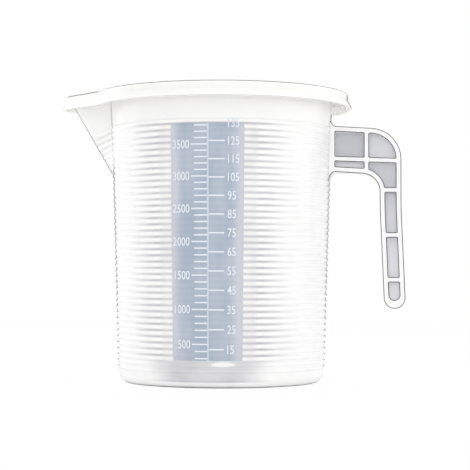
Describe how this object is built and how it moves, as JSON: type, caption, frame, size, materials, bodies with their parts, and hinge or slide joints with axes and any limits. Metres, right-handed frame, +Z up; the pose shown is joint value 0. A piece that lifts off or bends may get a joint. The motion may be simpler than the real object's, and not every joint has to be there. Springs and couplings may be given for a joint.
{
  "type": "measuring pitcher",
  "caption": "Translucent graduated measuring pitcher: ribbed tapered jug with beak spout, clear scale window and open hook handle, under a lift-off lid with a matching beak.",
  "frame": {"origin": "the jug's axis in the plane of its standing ring", "axes": "+Z up along the jug's axis, +X to the handle, -X to the spout, -Y to the scale window"},
  "size_m": [0.2695, 0.202, 0.2227],
  "materials": {
    "natural_pp": "moulded natural polypropylene, translucent",
    "clear_pp": "polished natural polypropylene, nearly clear",
    "scale_white": "raised frosted polypropylene",
    "ivory_pp": "moulded ivory polypropylene, satin"
  },
  "bodies": {
    "jug": {"vessel_wall": "natural_pp", "vessel_floor": "natural_pp", "pouring_spout": "natural_pp", "rim_flange": "natural_pp", "wall_ribs": "natural_pp", "scale_window": "clear_pp", "scale_divider": "scale_white", "ml_graduations": "scale_white", "oz_graduations": "scale_white", "handle_rail": "natural_pp", "handle_web": "natural_pp", "handle_cross_ribs": "natural_pp"},
    "lid": {"lid_cap": "ivory_pp", "lid_panel": "ivory_pp", "lid_plug_ring": "ivory_pp", "lid_snap_bead": "ivory_pp"}
  },
  "joints": [
    {"name": "lid_lift", "type": "slide", "parent": "jug", "child": "lid", "axis": [0, 0, 1], "range_m": [0, 0.1]}
  ]
}
